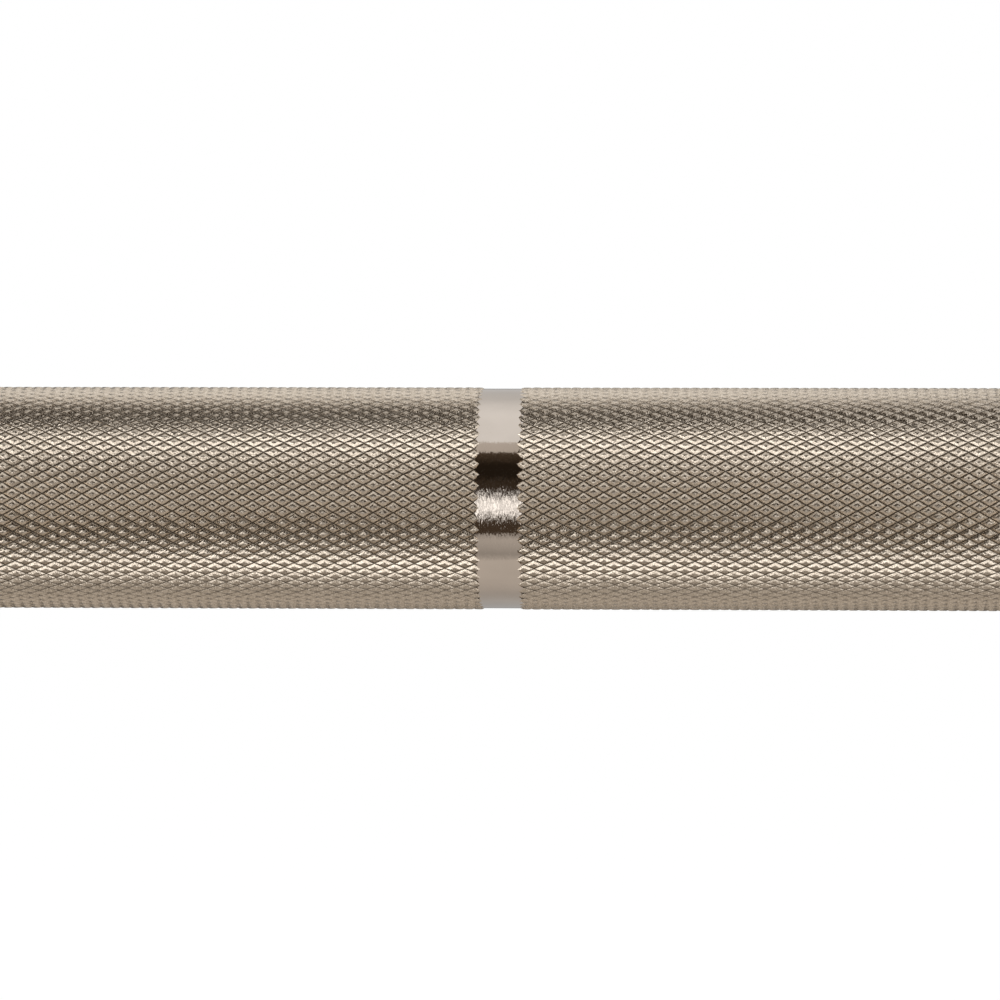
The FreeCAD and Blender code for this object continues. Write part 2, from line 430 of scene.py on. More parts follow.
# %% Where the bands lie
centre_band_length = 120 * MM
plain_gap = 165 * MM
collar_gap = 12 * MM
ring_spacing = 810 * MM
inner_edge = 2.05 * MM  # from the ring's middle to the band on its inner side
outer_edge = 2.15 * MM  # and to the band on its outer side
blunt_reach = 0.85 * MM  # from the middle of the last column to tips that are cut off
full_reach = 1.2 * MM  # and to tips that are all but whole
MOST_COLUMNS = 80
ring_x = ring_spacing / 2
centre_end_x = centre_band_length / 2
grip_start_x = centre_end_x + plain_gap
grip_end_x = mouth_x - collar_gap


def knurl_band(name, anchor_x, far_x, tip_reach):
    """Columns of diamonds from the band's end at anchor_x towards far_x, in some pieces."""
    way = math.copysign(1.0, far_x - anchor_x)
    columns = round((abs(far_x - anchor_x) - 2 * tip_reach) / half_length) + 1
    nearest = anchor_x + way * tip_reach
    first_x, last_x = sorted((nearest, nearest + way * (columns - 1) * half_length))
    return {
        "name": name,
        "first_x": first_x,
        "last_x": last_x,
        "start_x": first_x - tip_reach,
        "end_x": last_x + tip_reach,
        "tip_reach": tip_reach,
        "columns": columns,
        "pieces": math.ceil(columns / MOST_COLUMNS),
    }


knurl_bands = [knurl_band("centre_knurl", -centre_end_x, centre_end_x, blunt_reach)]
for side, sign in SIDES.items():
    inner_x, outer_x = sign * (ring_x - inner_edge), sign * (ring_x + outer_edge)
    knurl_bands += [
        knurl_band(f"{side}_inner_knurl", inner_x, sign * grip_start_x, blunt_reach),
        knurl_band(f"{side}_outer_knurl", outer_x, sign * grip_end_x, full_reach),
    ]
knurl_bands.sort(key=lambda band: band["first_x"])
diamonds = STARTS * sum(band["columns"] for band in knurl_bands)
print(len(knurl_bands), "bands with", diamonds, "diamonds")

# %% [markdown]
# ## The knurl in Geometry Nodes
#
# Something that repeats forty thousand times by a rule is work for Geometry Nodes. The tree makes
# one diamond by pushing a four-sided face up and in, level by level. It sets the diamonds out on
# a flat lattice, rolls the lattice into a tube, and welds neighbours along the grooves.


# %% The tree's inputs and its single diamond
def knurl_inputs(tree):
    kinds = {
        "First column": "NodeSocketFloat",
        "Columns": "NodeSocketInt",
        "First shift": "NodeSocketInt",
        "Starts": "NodeSocketInt",
        "Half length": "NodeSocketFloat",
        "Half width": "NodeSocketFloat",
        "Depth": "NodeSocketFloat",
        "Root radius": "NodeSocketFloat",
        "Winding": "NodeSocketFloat",
        "Band start": "NodeSocketFloat",
        "Band end": "NodeSocketFloat",
        "Ragged": "NodeSocketFloat",
        "Run-out": "NodeSocketFloat",
        "End height": "NodeSocketFloat",
        "Wobble": "NodeSocketFloat",
        "Seed": "NodeSocketFloat",
        "Steel": "NodeSocketMaterial",
    }
    tree.interface.new_socket("Knurl", in_out="OUTPUT", socket_type="NodeSocketGeometry")
    for name, kind in kinds.items():
        tree.interface.new_socket(name, in_out="INPUT", socket_type=kind)
    return tree.nodes.new("NodeGroupInput").outputs


def store(tree, geometry, name, value, data_type, domain, selection=True):
    """Store a named attribute."""
    inputs = {"Geometry": geometry, "Selection": selection, "Name": name, "Value": value}
    kind = "GeometryNodeStoreNamedAttribute"
    return output(tree, kind, inputs, data_type=data_type, domain=domain)


def diamond_template(tree, given):
    """One diamond at the origin: a four-sided face pushed up and in, level by level."""
    corners = {"Vertices": 4, "Radius": 1.0}
    face = output(tree, "GeometryNodeMeshCircle", corners, fill_type="NGON")
    stretch = vector(tree, given["Half length"], given["Half width"], 1.0)
    sized = output(tree, "GeometryNodeTransform", {"Geometry": face, "Scale": stretch})
    # The groove's bottom gets the darkest paint, and each level its own: dirt, and painted shade
    # in the hollows
    shape = store(tree, sized, DIRT_AND_SHADE_ATTRIBUTE, GROOVE_DIRT_AND_SHADE, "FLOAT", "POINT")
    top = True
    size_below, rise_below, drift_below = 1.0, 0.0, 0.0
    for size, rise, drift, dirt_and_shade in DIAMOND_LEVELS:
        in_place = {"Mesh": shape, "Selection": top, "Offset Scale": 0.0}
        pushed = add_node(tree, "GeometryNodeExtrudeMesh", in_place).outputs
        top = pushed["Top"]
        inwards = {"Geometry": pushed["Mesh"], "Selection": top, "Scale": size / size_below}
        drawn_in = output(tree, "GeometryNodeScaleElements", inwards)
        aside = maths(tree, "MULTIPLY", given["Half width"], drift - drift_below)
        up = maths(tree, "MULTIPLY", given["Depth"], rise - rise_below)
        lift = {"Geometry": drawn_in, "Selection": top, "Offset": vector(tree, 0.0, aside, up)}
        lifted = output(tree, "GeometryNodeSetPosition", lift)
        shape = store(tree, lifted, DIRT_AND_SHADE_ATTRIBUTE, dirt_and_shade, "FLOAT", "POINT", selection=top)
        size_below, rise_below, drift_below = size, rise, drift
    return shape


print("The diamond has", 4 * len(DIAMOND_LEVELS) + 1, "faces")

# %% [markdown]
# Light tells how a flank bends, so it matters which edges are sharp. The edges that run uphill
# are the diamond's ridges, and those stay sharp, with the bottom of the groove and the rim of the
# top. The level edges in between only stand in for a curve, so they are smoothed over.

# %% Sharp ridges and round flanks
LEAST_CLIMB = 0.001 * MM  # an edge that climbs less is level
BOTTOM_OR_RIM = 0.49  # farther than this share of the depth from half-way up


def crisp_edges(tree, given, diamond):
    """The diamond shaded smooth, but with its ridges, its rim and the groove's bottom sharp."""
    whole = {"Geometry": diamond, "Shade Smooth": True}
    smooth = output(tree, "GeometryNodeSetShadeSmooth", whole)
    ends = add_node(tree, "GeometryNodeInputMeshEdgeVertices", {}).outputs
    one, other = (
        output(tree, "ShaderNodeSeparateXYZ", {0: ends[f"Position {end}"]}, "Z") for end in (1, 2)
    )
    climb = maths(tree, "ABSOLUTE", maths(tree, "SUBTRACT", one, other))
    uphill = maths(tree, "GREATER_THAN", climb, LEAST_CLIMB)
    from_middle = maths(tree, "SUBTRACT", maths(tree, "DIVIDE", one, given["Depth"]), 0.5)
    outermost = maths(tree, "GREATER_THAN", maths(tree, "ABSOLUTE", from_middle), BOTTOM_OR_RIM)
    sharp = maths(tree, "MAXIMUM", uphill, outermost)
    edges = {"Geometry": smooth, "Selection": sharp, "Shade Smooth": False}
    return output(tree, "GeometryNodeSetShadeSmooth", edges, domain="EDGE")


print("Sharp: ridges, rims and groove bottoms")

# %% [markdown]
# The diamonds are set out while the sheet is still flat: X runs along the bar, Y runs round it,
# and every other column stands half a diamond over, so that the diamonds nest. Two Array
# modifiers could do that too, but points that carry instances need only their number and a rule.


# %% Setting the diamonds out
def diamond_lattice(tree, given, diamond):
    """The diamonds on a flat lattice, with every other column half a step over."""
    index = output(tree, "GeometryNodeInputIndex", {})
    column = maths(tree, "FLOOR", maths(tree, "DIVIDE", index, given["Starts"]))
    row = maths(tree, "MODULO", index, given["Starts"])
    shift = maths(tree, "MODULO", maths(tree, "ADD", column, given["First shift"]), 2.0)
    from_first = maths(tree, "MULTIPLY", column, given["Half length"])
    along = maths(tree, "ADD", given["First column"], from_first)
    steps = maths(tree, "ADD", maths(tree, "MULTIPLY", row, 2.0), shift)
    around = maths(tree, "MULTIPLY", steps, given["Half width"])
    count = maths(tree, "MULTIPLY", given["Columns"], given["Starts"])
    places = {"Count": count, "Position": vector(tree, along, around, 0.0)}
    points = output(tree, "GeometryNodePoints", places)
    carried = {"Points": points, "Instance": diamond}
    set_out = output(tree, "GeometryNodeInstanceOnPoints", carried)
    return output(tree, "GeometryNodeRealizeInstances", {"Geometry": set_out})


print("The lattice has", STARTS, "diamonds to a column")

# %% [markdown]
# While the lattice is still flat, where each corner lies on the sheet is a ready-made UV map,
# with no seams to find. It is noted down before the sheet is rolled round the bar. Rolling also
# cuts the band's ends off: a corner past an end is drawn back to it, and noise moves that end to
# and fro from row to row. The wheels press less hard there, so over the last half millimetre the
# diamonds sink until they are level with the plain steel.

# %% Rolling the lattice round the bar
UNROLLED_MAP = "OFBake"
RAGGED_SIZE = 1.1 * MM
WELD_DISTANCE = 0.01 * MM


def axes(tree):
    """X, Y and Z of the position."""
    place = output(tree, "GeometryNodeInputPosition", {})
    return add_node(tree, "ShaderNodeSeparateXYZ", {0: place}).outputs


def note_flat_places(tree, given, lattice):
    """Store each corner's place on the flat sheet as a UV map."""
    x, y, _ = axes(tree)
    from_start = maths(tree, "SUBTRACT", x, given["First column"])
    columns_on = maths(tree, "DIVIDE", from_start, given["Half length"])
    columns_along = maths(tree, "ADD", columns_on, 1.0)
    steps_round = maths(tree, "ADD", maths(tree, "DIVIDE", y, given["Half width"]), 1.0)
    across = maths(tree, "DIVIDE", columns_along, maths(tree, "ADD", given["Columns"], 1.0))
    most_steps = maths(tree, "ADD", maths(tree, "MULTIPLY", given["Starts"], 2.0), 1.0)
    upwards = maths(tree, "DIVIDE", steps_round, most_steps)
    flat_place = vector(tree, across, upwards, 0.0)
    return store(tree, lattice, UNROLLED_MAP, flat_place, "FLOAT2", "CORNER")


def ragged_end(tree, given, end, y):
    """The band's end along the bar, moved to and fro by noise from row to row."""
    place = vector(tree, given[end], y, 0.0)
    inputs = {"Vector": place, "Scale": 1 / RAGGED_SIZE, "Detail": 0.0}
    noise = output(tree, "ShaderNodeTexNoise", inputs, "Fac")
    centred = maths(tree, "SUBTRACT", noise, NOISE_MIDDLE)
    return maths(tree, "ADD", given[end], maths(tree, "MULTIPLY", centred, given["Ragged"]))


def roll(tree, given, sheet):
    """The flat sheet cut off at the band's ends, wrapped round the X axis and welded."""
    x, y, z = axes(tree)
    start, end = (ragged_end(tree, given, f"Band {which}", y) for which in ("start", "end"))
    x = maths(tree, "MINIMUM", maths(tree, "MAXIMUM", x, start), end)
    to_start, to_end = maths(tree, "SUBTRACT", x, start), maths(tree, "SUBTRACT", end, x)
    from_end = maths(tree, "MINIMUM", to_start, to_end)
    share = maths(tree, "MINIMUM", maths(tree, "DIVIDE", from_end, given["Run-out"]), 1.0)
    full = maths(tree, "MULTIPLY", z, share)
    level = maths(tree, "MULTIPLY", z, given["End height"])
    sunk = maths(tree, "MULTIPLY", level, maths(tree, "SUBTRACT", 1.0, share))
    half_round = maths(tree, "MULTIPLY", given["Half width"], given["Starts"])
    turned = maths(tree, "MULTIPLY", maths(tree, "DIVIDE", y, half_round), math.pi)
    angle = maths(tree, "ADD", turned, maths(tree, "MULTIPLY", x, given["Winding"]))
    radius = maths(tree, "ADD", given["Root radius"], maths(tree, "ADD", full, sunk))
    wrapped_y = maths(tree, "MULTIPLY", radius, maths(tree, "SINE", angle))
    wrapped_z = maths(tree, "MULTIPLY", radius, maths(tree, "COSINE", angle))
    moved = {"Geometry": sheet, "Position": vector(tree, x, wrapped_y, wrapped_z)}
    tube = output(tree, "GeometryNodeSetPosition", moved)
    meeting = {"Geometry": tube, "Distance": WELD_DISTANCE}
    return output(tree, "GeometryNodeMergeByDistance", meeting)


print("Flat places are kept as", UNROLLED_MAP)

# %% [markdown]
# No two diamonds on a real bar are quite alike, so a little noise pushes every corner about. It
# is read at the rolled place, so two pieces that meet are pushed alike and stay shut. Then the
# steps are put together into the whole tree.

# %% Wobble, and the whole tree
WOBBLE_SIZE = 0.9 * MM


def wobble(tree, given, tube):
    """Push every corner about by noise, as far as the wobble input says."""
    place = output(tree, "GeometryNodeInputPosition", {})
    inputs = {"Vector": place, "W": given["Seed"], "Scale": 1 / WOBBLE_SIZE, "Detail": 1.0}
    noise = output(tree, "ShaderNodeTexNoise", inputs, "Color", noise_dimensions="4D")
    to_middle = {0: noise, 1: even(NOISE_MIDDLE)}
    centred = output(tree, "ShaderNodeVectorMath", to_middle, operation="SUBTRACT")
    as_far = {0: centred, "Scale": given["Wobble"]}
    push = output(tree, "ShaderNodeVectorMath", as_far, operation="SCALE")
    return output(tree, "GeometryNodeSetPosition", {"Geometry": tube, "Offset": push})


def knurl_tree():
    tree = bpy.data.node_groups.new("diamond_knurl", "GeometryNodeTree")
    given = knurl_inputs(tree)
    diamond = crisp_edges(tree, given, diamond_template(tree, given))
    sheet = note_flat_places(tree, given, diamond_lattice(tree, given, diamond))
    tube = wobble(tree, given, roll(tree, given, sheet))
    finished = {"Geometry": tube, "Material": given["Steel"]}
    add_node(tree, "NodeGroupOutput", {0: output(tree, "GeometryNodeSetMaterial", finished)})
    return tree


diamond_knurl = knurl_tree()
print("The knurl's tree has", len(diamond_knurl.nodes), "nodes")

# %% [markdown]
# The tree gives an open tube of diamonds. A real band has steel under it, so each piece gets end
# walls down to a plain inner radius and an inner wall that joins them, which makes it a closed
# ring seated on the core.

# %% Closing a band underneath
seat_depth = 0.3 * MM
core_radius = root_radius - seat_depth


def link(name, data):
    """A new object at the origin, in the scene, for a mesh, a lamp or a camera."""
    made = bpy.data.objects.new(name, data)
    bpy.context.scene.collection.objects.link(made)
    return made


def close_underneath(mesh):
    """Walls from both rims of the tube down to the core, joined by an inner wall."""
    shell = bmesh.new()
    shell.from_mesh(mesh)
    rims = [edge for edge in shell.edges if edge.is_boundary]
    walls = bmesh.ops.extrude_edge_only(shell, edges=rims)["geom"]
    for corner in (part for part in walls if isinstance(part, bmesh.types.BMVert)):
        shrink = core_radius / math.hypot(corner.co.y, corner.co.z)
        corner.co.y *= shrink
        corner.co.z *= shrink
    inner_rims = [edge for edge in shell.edges if edge.is_boundary]
    bmesh.ops.bridge_loops(shell, edges=inner_rims)
    bmesh.ops.recalc_face_normals(shell, faces=shell.faces)
    shell.to_mesh(mesh)
    shell.free()


print(f"Bands sit on a core of radius {core_radius:.5f} m")

# %% [markdown]
# Each piece is an empty object with the tree as its modifier. The evaluated mesh becomes its own
# plain mesh, and the modifier goes. All pieces ride on the shaft and stand in for its plain
# solid.

# %% Making the bands
ragged_width = 0.6 * MM
run_out = 0.5 * MM
wobble_reach = 0.05 * MM
WOBBLE_SEED = 7.0


def knurl_piece(name, band, first, columns):
    """One closed piece of a band, from its column number first on."""
    piece = link(name, bpy.data.meshes.new(name))
    modifier = piece.modifiers.new("knurl", "NODES")
    modifier.node_group = diamond_knurl
    values = {
        "First column": band["first_x"] + first * half_length,
        "Columns": columns,
        "First shift": first % 2,
        "Starts": STARTS,
        "Half length": half_length,
        "Half width": half_width,
        "Depth": knurl_depth,
        "Root radius": root_radius,
        "Winding": row_winding,
        "Band start": band["start_x"],
        "Band end": band["end_x"],
        "Ragged": ragged_width,
        "Run-out": run_out,
        "End height": (plain_radius - root_radius) / knurl_depth,
        "Wobble": wobble_reach,
        "Seed": WOBBLE_SEED,
        "Steel": knurl_finish,
    }
    for item in diamond_knurl.interface.items_tree:
        if item.in_out == "INPUT":
            modifier[item.identifier] = values[item.name]
    depsgraph = bpy.context.evaluated_depsgraph_get()
    mesh = bpy.data.meshes.new_from_object(
        piece.evaluated_get(depsgraph), preserve_all_data_layers=True, depsgraph=depsgraph
    )
    piece.modifiers.remove(modifier)
    piece.data = mesh
    close_underneath(mesh)
    return piece


for band in knurl_bands:
    for part in range(band["pieces"]):
        first = part * band["columns"] // band["pieces"]
        past = (part + 1) * band["columns"] // band["pieces"]
        name = f"{band['name']}_{part + 1}"
        piece = knurl_piece(name, band, first, past - first)
        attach(piece, "shaft")
        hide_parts("shaft")
        print(name, past - first, "columns,", len(piece.data.polygons), "faces")

# %% [markdown]
# ## Turned parts
#
# Everything else that shows is turned: an outline spun about the bar's axis. Blender's Screw
# modifier could spin it, but a few lines of mesh code give closed poles and even seams. Real
# parts have no knife edges, so each corner of an outline is first eased by a small arc. That thin
# round catches the light and is what makes an edge look like metal.

# %% Easing corners and spinning outlines
ROUND_STEPS = 4
SIDE_PARTS = 2.5  # a round takes up at most one of so many parts of a side
SEGMENTS = 4 * STARTS  # four to a diamond, so that the core's teeth fall on its vertices
SHARP_ANGLE = math.radians(40)


def eased(outline, radius):
    """The outline of (x, radius) points, with an arc for every corner that is off the axis."""
    points = [Vector(point) for point in outline]
    smooth = []
    for place, corner in enumerate(points):
        before, after = points[place - 1], points[(place + 1) % len(points)]
        if corner.y == 0:
            smooth.append(corner)
            continue
        reach_before = min(radius, (before - corner).length / SIDE_PARTS)
        reach_after = min(radius, (after - corner).length / SIDE_PARTS)
        start = corner + (before - corner).normalized() * reach_before
        stop = corner + (after - corner).normalized() * reach_after
        for step in range(ROUND_STEPS + 1):
            share = step / ROUND_STEPS
            smooth.append(start.lerp(corner, share).lerp(corner.lerp(stop, share), share))
    return [(point.x, point.y) for point in smooth]


def spin(name, loops, finish):
    """An object from loops of points round the axis. A loop of one point is a pole."""
    shape = bmesh.new()
    rings = [[shape.verts.new(point) for point in loop] for loop in loops]
    open_ended = len(rings[0]) == 1
    for near, far in zip(rings, rings[1:] if open_ended else rings[1:] + rings[:1]):
        for step in range(SEGMENTS):
            steps = (step, (step + 1) % SEGMENTS)
            corners = [near[k % len(near)] for k in steps]
            corners += [far[k % len(far)] for k in reversed(steps)]
            shape.faces.new(dict.fromkeys(corners))
    bmesh.ops.recalc_face_normals(shape, faces=shape.faces)
    mesh = bpy.data.meshes.new(name)
    shape.to_mesh(mesh)
    shape.free()
    mesh.polygons.foreach_set("use_smooth", [True] * len(mesh.polygons))
    mesh.set_sharp_from_angle(angle=SHARP_ANGLE)
    mesh.materials.append(finish)
    return link(name, mesh)


def circle(x, radius):
    """A loop of points round the axis, or the one point on it."""
    if radius == 0:
        return [(x, 0.0, 0.0)]
    turns = [math.tau * step / SEGMENTS for step in range(SEGMENTS)]
    return [(x, radius * math.sin(turn), radius * math.cos(turn)) for turn in turns]


def turned(name, outline, finish):
    """An object turned from an outline of (x, radius) points."""
    return spin(name, [circle(x, radius) for x, radius in outline], finish)


print("Turned parts have", SEGMENTS, "segments")

# %% [markdown]
# ## The shaft's core
#
# The core is all of the shaft that isn't knurled: the ring marks, the plain stretches and the
# ends inside the sleeves. Where a band ends, the plain surface reaches in under the tips of the
# last diamonds, and farther in between them, here more and there less. There it drops to a floor
# just below the grooves, and under the band to the core's seat. The whole core winds round with
# the rows, which keeps its edge in step with the diamonds all along the bar.

# %% Toothed edges and the shaft's ends
journal_drop = 1.25 * MM
snap_groove_depth = 0.9 * MM
nose_bevel = 1 * MM
tooth_floor_drop = 0.05 * MM
journal_radius = plain_radius - journal_drop
snap_groove_radius = journal_radius - snap_groove_depth
floor_radius = root_radius - tooth_floor_drop
# How far the plain surface reaches in at a tip and between two tips, as shares of the tip's reach
under_tip = (0.3, 0.45)
between_tips = (0.55, 0.95)
chance = random.Random(11)


def toothed_edge(end_x, inwards, shift):
    """The core's places along the bar at a band's end, one for each segment.

    Inwards is plus or minus the reach of the band's tips.
    """
    tips = [end_x + inwards * chance.uniform(*under_tip) for _ in range(STARTS)]
    notches = [end_x + inwards * chance.uniform(*between_tips) for _ in range(STARTS)]
    in_order = [place for pair in zip(tips, notches) for place in pair]
    in_order = in_order[-shift:] + in_order[:-shift]
    halfway = [(a + b) / 2 for a, b in zip(in_order, in_order[1:] + in_order[:1])]
    return [place for pair in zip(in_order, halfway) for place in pair]


def toothed_circle(places, radius):
    """A loop round the axis whose points lie at their own places along the bar."""
    return [(x, y, z) for x, (_, y, z) in zip(places, circle(0.0, radius))]


def wound(loop):
    """The loop turned about the axis as far as the rows of diamonds wind round at each point."""
    axis = (1.0, 0.0, 0.0)
    return [Quaternion(axis, -row_winding * x) @ Vector((x, y, z)) for x, y, z in loop]


def shaft_end(sign):
    """Loops from the shaft's end face to its shoulder inside the sleeve."""
    outline = [
        (shaft_end_x, 0.0),
        (shaft_end_x, journal_radius - nose_bevel),
        (shaft_end_x - nose_bevel, journal_radius),
        (snap_ring_end_x, journal_radius),
        (snap_ring_end_x, snap_groove_radius),
        (snap_ring_x, snap_groove_radius),
        (snap_ring_x, journal_radius),
        (inner_washer_x, journal_radius),
        (inner_washer_x, plain_radius),
    ]
    return [circle(sign * x, radius) for x, radius in outline]


print(f"Journals have a radius of {journal_radius:.5f} m")

# %% [markdown]
# The core's outline runs from the left end to the right: the left journal, then each band's two
# toothed edges with the seat between them, and last the right journal.

# %% The core
core_loops = shaft_end(-1)
for band in knurl_bands:
    left_edge = toothed_edge(band["start_x"], band["tip_reach"], 0)
    right_edge = toothed_edge(band["end_x"], -band["tip_reach"], (band["columns"] - 1) % 2)
    seat_x, seat_end_x = band["first_x"] + half_length / 2, band["last_x"] - half_length / 2
    core_loops += [
        toothed_circle(left_edge, plain_radius),
        toothed_circle(left_edge, floor_radius),
        circle(seat_x, floor_radius),
        circle(seat_x, core_radius),
        circle(seat_end_x, core_radius),
        circle(seat_end_x, floor_radius),
        toothed_circle(right_edge, floor_radius),
        toothed_circle(right_edge, plain_radius),
    ]
core_loops += reversed(shaft_end(1))

core = spin("shaft_core", [wound(loop) for loop in core_loops], shaft_finish)
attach(core, "shaft")
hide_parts("shaft")
print("The core has", len(core.data.polygons), "faces")

# %% [markdown]
# ## Sleeves, collars, seals and caps
#
# A sleeve tube is bored in steps: a seat for the dust seal, a seat for each bushing, and a seat
# and a groove for the end cap and its snap ring. The stop collar is a heavy ring shrunk onto the
# tube's mouth. The outlines below go once round each section, and take their places from the
# parts that sit against them.

# %% Outlines of the right-hand end
sleeve_nose_bevel = 2 * MM
bushing_step = 1 * MM
collar_seat_depth = 0.5 * MM
collar_face_clearance = 0.3 * MM
cap_clearance = 0.05 * MM
bore_radius = bushing_radius - bushing_step
collar_seat_radius = sleeve_radius - collar_seat_depth
collar_face_radius = sleeve_radius + collar_face_clearance
cap_seat_radius = cap_radius + cap_clearance

tube_outline = [
    (mouth_x, collar_seat_radius),
    (stop_face_x, collar_seat_radius),
    (stop_face_x, sleeve_radius),
    (sleeve_end_x - sleeve_nose_bevel, sleeve_radius),
    (sleeve_end_x, sleeve_radius - sleeve_nose_bevel),
    (sleeve_end_x, cap_seat_radius),
    (cap_ring_end_x, cap_seat_radius),
    (cap_ring_end_x, cap_groove_radius),
    (cap_end_x, cap_groove_radius),
    (cap_end_x, cap_seat_radius),
    (cap_x, cap_seat_radius),
    (cap_x, bushing_radius),
    (outer_bushing_x, bushing_radius),
    (outer_bushing_x, bore_radius),
    (inner_bushing_end_x, bore_radius),
    (inner_bushing_end_x, bushing_radius),
    (seal_end_x, bushing_radius),
    (seal_end_x, seal_radius),
    (mouth_x, seal_radius),
]
bore_bevel = collar_face_radius - collar_seat_radius
collar_bore = [
    (mouth_x, collar_seat_radius),
    (stop_face_x - bore_bevel, collar_seat_radius),
    (stop_face_x, collar_face_radius),
]
collar_outline = collar_bore + [(stop_face_x, collar_radius), (mouth_x, collar_radius)]
print("The tube's outline has", len(tube_outline), "corners")

# %% [markdown]
# The dust seal is a rubber ring whose lip all but touches the shaft. The end cap is a disc with a
# groove for its O-ring and a shallow dish inside the circle that the snap ring's eyelets need.

# %% Outlines of the seal and the cap
lip_clearance = 0.05 * MM
lip_height = 1.2 * MM
lip_half_width = 0.4 * MM
lip_x = (seal_x + seal_end_x) / 2
lip_radius = plain_radius + lip_clearance
seal_outline = [
    (seal_x, seal_radius),
    (seal_x, lip_radius + lip_height),
    (lip_x - lip_half_width, lip_radius),
    (lip_x + lip_half_width, lip_radius),
    (seal_end_x, lip_radius + lip_height),
    (seal_end_x, seal_radius),
]

o_ring_section = 2 * MM
cap_rim_bevel = 0.4 * MM
cap_dish_depth = 1.2 * MM
cap_eyelet_reach = 6.2 * MM
cap_dish_margin = 1 * MM
dish_radius = cap_groove_radius - cap_eyelet_reach - cap_dish_margin
o_groove_radius = cap_seat_radius - o_ring_section
o_groove_x = (cap_x + cap_end_x - o_ring_section) / 2
cap_outline = [
    (cap_x, 0.0),
    (cap_x, cap_radius - cap_rim_bevel),
    (cap_x + cap_rim_bevel, cap_radius),
    (o_groove_x, cap_radius),
    (o_groove_x, o_groove_radius),
    (o_groove_x + o_ring_section, o_groove_radius),
    (o_groove_x + o_ring_section, cap_radius),
    (cap_end_x - cap_rim_bevel, cap_radius),
    (cap_end_x, cap_radius - cap_rim_bevel),
    (cap_end_x, dish_radius),
    (cap_end_x - cap_dish_depth, dish_radius - cap_dish_depth),
    (cap_end_x - cap_dish_depth, 0.0),
]
print(f"The cap's dish has a radius of {dish_radius:.5f} m")

# %% [markdown]
# The outlines are spun once for each side. A mirrored outline is simply the same one with X
# turned round, and the normals are worked out afresh, so neither end comes out inside out. The
# collar's two rims get the large round that keeps a dropped bar from biting the floor, and its
# bore keeps its crisp corners.

# %% Turning both ends
fine_edge = 0.25 * MM
collar_rim_round = 2.5 * MM
RIM_POINTS = 2 * (ROUND_STEPS + 1)
collar_rims = eased(collar_outline, collar_rim_round)[-RIM_POINTS:]
end_parts = {
    "sleeve_tube": (eased(tube_outline, fine_edge), chrome_finish, "sleeve_chrome"),
    "stop_collar": (collar_bore + collar_rims, chrome_finish, "sleeve_chrome"),
    "dust_seal": (eased(seal_outline, fine_edge), rubber_finish, "seal_rubber"),
    "end_cap": (eased(cap_outline, fine_edge), cap_finish, "cap_aluminium"),
}
for side, sign in SIDES.items():
    for part, (outline, finish, slot) in end_parts.items():
        mirrored = [(sign * x, radius) for x, radius in outline]
        piece = turned(f"{side}_{part}_turned", mirrored, finish)
        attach(piece, f"{side}_sleeve")
        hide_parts(f"{side}_{part}")
        print(piece.name, len(piece.data.polygons), "faces")

# %% [markdown]
# The snap ring that holds each cap is stamped from spring steel, and stamping leaves its edges a
# little round. Its flat shape is already right in the frame, so a copy of that mesh is welded,
# its flat faces are joined up, and a Bevel modifier rounds the edges.

# %% Easing the snap rings
CORNER_WELD = 0.001 * MM
FLAT_ANGLE = math.radians(1)
EDGE_ANGLE = math.radians(50)
stamped_round = 0.15 * MM


def eased_copy(node, name, finish):
    """A welded copy of a node's mesh with its sharp edges rounded."""
    shape = bmesh.new()
    shape.from_mesh(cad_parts[node].data)
    bmesh.ops.remove_doubles(shape, verts=shape.verts, dist=CORNER_WELD)
    bmesh.ops.dissolve_limit(shape, angle_limit=FLAT_ANGLE, verts=shape.verts, edges=shape.edges)
    mesh = bpy.data.meshes.new(name)
    shape.to_mesh(mesh)
    shape.free()
    mesh.materials.clear()
    mesh.materials.append(finish)
    piece = link(name, mesh)
    bevel = piece.modifiers.new("stamped_edges", "BEVEL")
    bevel.width = stamped_round
    bevel.segments = 2
    bevel.limit_method = "ANGLE"
    bevel.angle_limit = EDGE_ANGLE
    return piece


for side in SIDES:
    node = f"{side}_end_cap_snap_ring"
    ring = eased_copy(node, f"{node}_stamped", spring_finish)
    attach(ring, f"{side}_sleeve")
    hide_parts(f"{side}_end_cap_snap_ring")
    print(ring.name, len(ring.data.polygons), "faces before its edges are rounded")

# %% [markdown]
# ## Parts inside
#
# Bushings, washers, O-rings and the shaft's own snap rings are hidden once the bar is together.
# Their shapes in the frame are right as they are, so they only get their finishes.

# %% Finishes of the parts inside
inside_finishes = {
    "inner_bushing": bronze_finish,
    "outer_bushing": bronze_finish,
    "inner_thrust_washer": washer_finish,
    "outer_thrust_washer": washer_finish,
    "shaft_snap_ring": spring_finish,
    "end_cap_o_ring": rubber_finish,
}
for side in SIDES:
    for part, finish in inside_finishes.items():
        for material_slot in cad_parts[f"{side}_{part}"].material_slots:
            material_slot.material = finish
print("Finished", len(SIDES) * len(inside_finishes), "parts inside")

# %% [markdown]
# ## The studio
#
# Bright metal shows nothing but its surroundings, so the surroundings are half of the picture.
# The bar is seen in a white tent: a white world, and a pale floor below that keeps the bar's soft
# shadow. In nothing but white, though, polished steel looks like plastic. Photographers hang
# black flags and grey cards close by, so that the metal has something dark to mirror, and the gap
# between two flags becomes a bright line along the bar.
#
# World and floor are white to the camera and to reflections alike, by way of the Light Path node.

# %% White world
WHITE = (1.0, 1.0, 1.0, 1.0)
DIFFUSE_WORLD = 0.75


